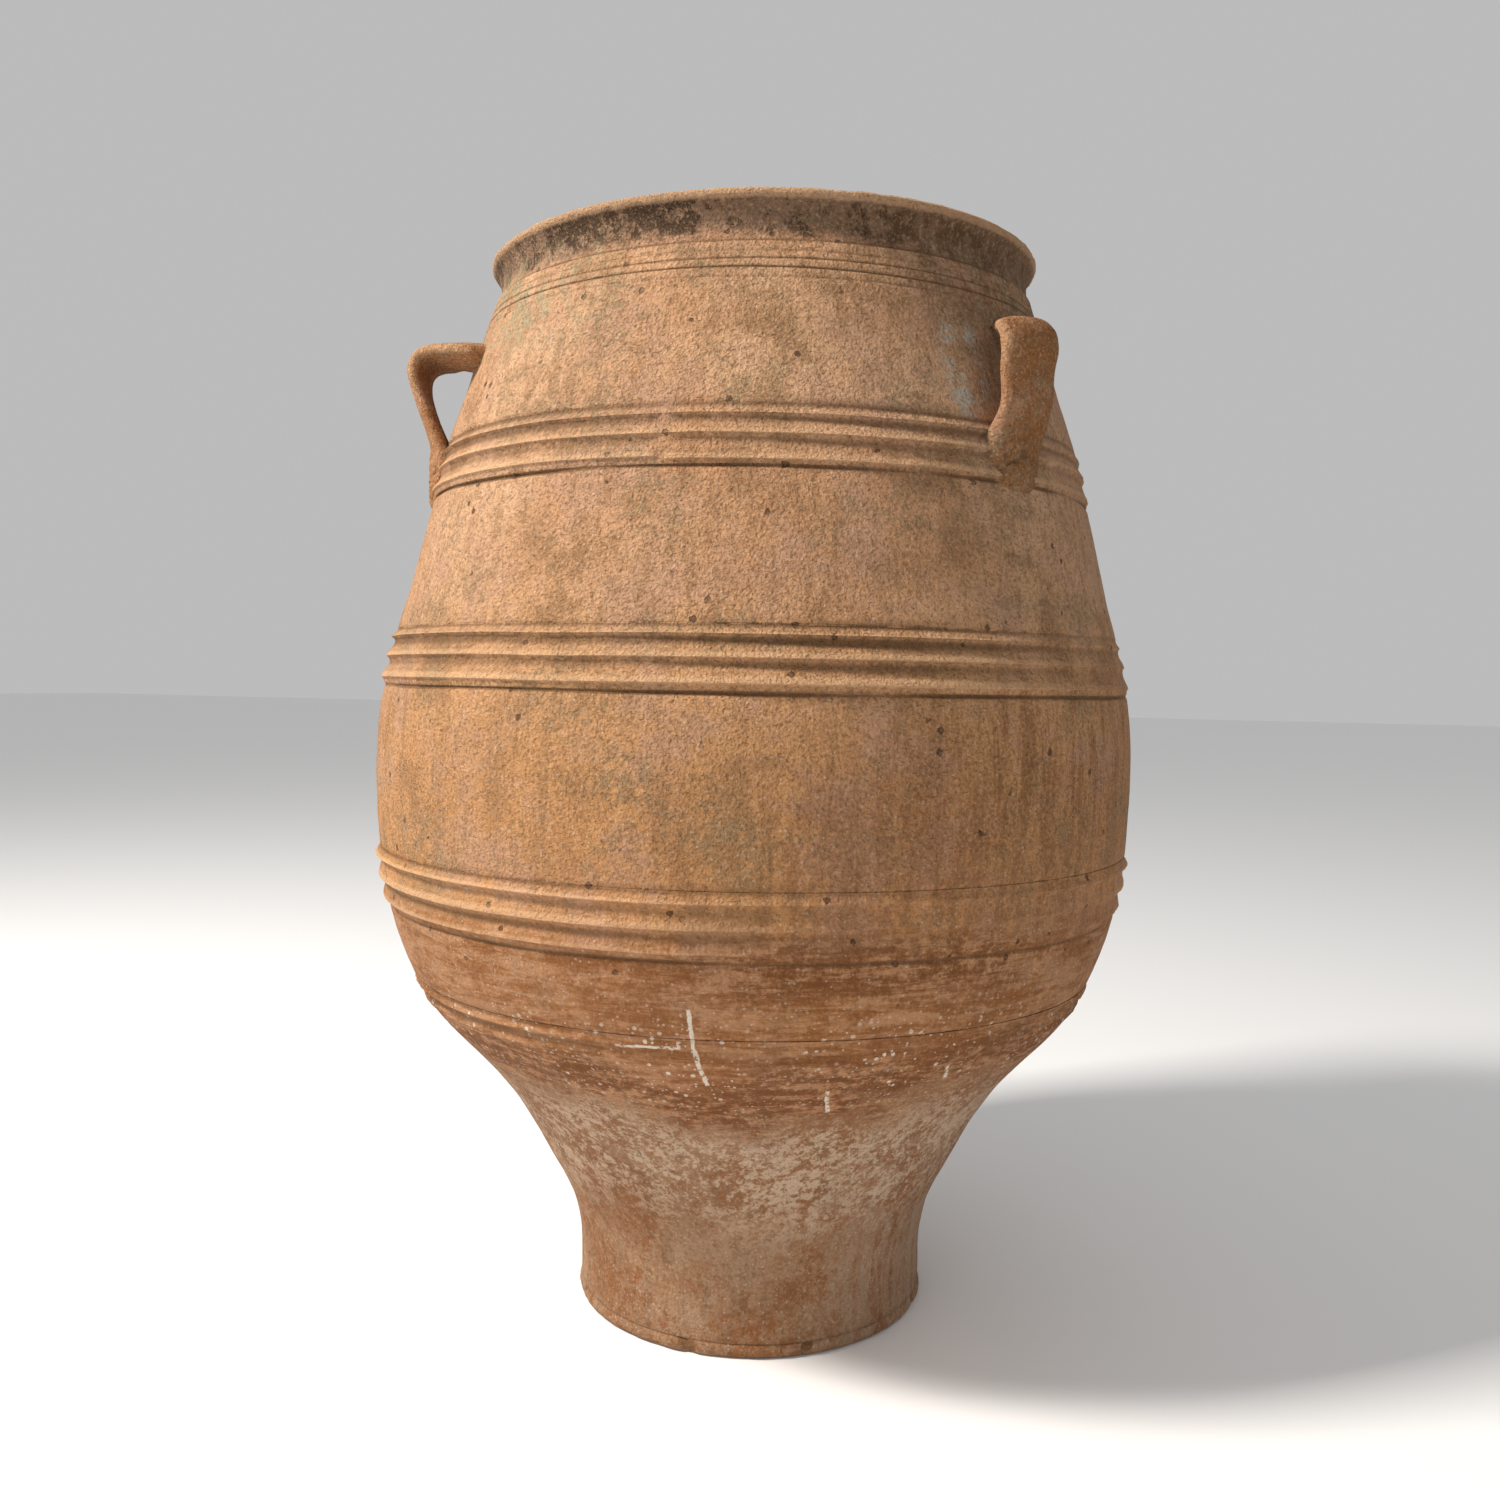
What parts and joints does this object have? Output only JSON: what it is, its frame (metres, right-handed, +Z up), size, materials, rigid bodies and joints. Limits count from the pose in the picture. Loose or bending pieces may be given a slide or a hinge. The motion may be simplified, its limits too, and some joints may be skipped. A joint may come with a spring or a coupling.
{
  "type": "amphora",
  "caption": "Tall terracotta storage jar (pithos) with a narrow foot, ridged clay bands, a rolled rim and strap handles on the shoulder.",
  "frame": {"origin": "centre of the flat underside of the base slab, on the jar's axis", "axes": "+Z up along the jar's axis; one strap handle at +Y and the other two a third of a turn to each side of it, so -Y is the open front"},
  "size_m": [0.8676, 0.8676, 1.2],
  "materials": {
    "clay_wall": "matte",
    "clay_foot": "matte",
    "clay_rim": "matte",
    "clay_band": "matte",
    "clay_handle": "matte"
  },
  "bodies": {
    "root": {"base_slab": "clay_foot", "foot_ring": "clay_foot", "lower_wall_ring": "clay_foot", "keel_ring": "clay_wall", "belly_ring": "clay_wall", "shoulder_ring": "clay_wall", "neck_ring": "clay_wall", "rim_ring": "clay_rim", "keel_band": "clay_band", "belly_band": "clay_band", "middle_band": "clay_band", "shoulder_band": "clay_band", "handle_rear": "clay_handle", "handle_left": "clay_handle", "handle_right": "clay_handle"}
  },
  "joints": []
}
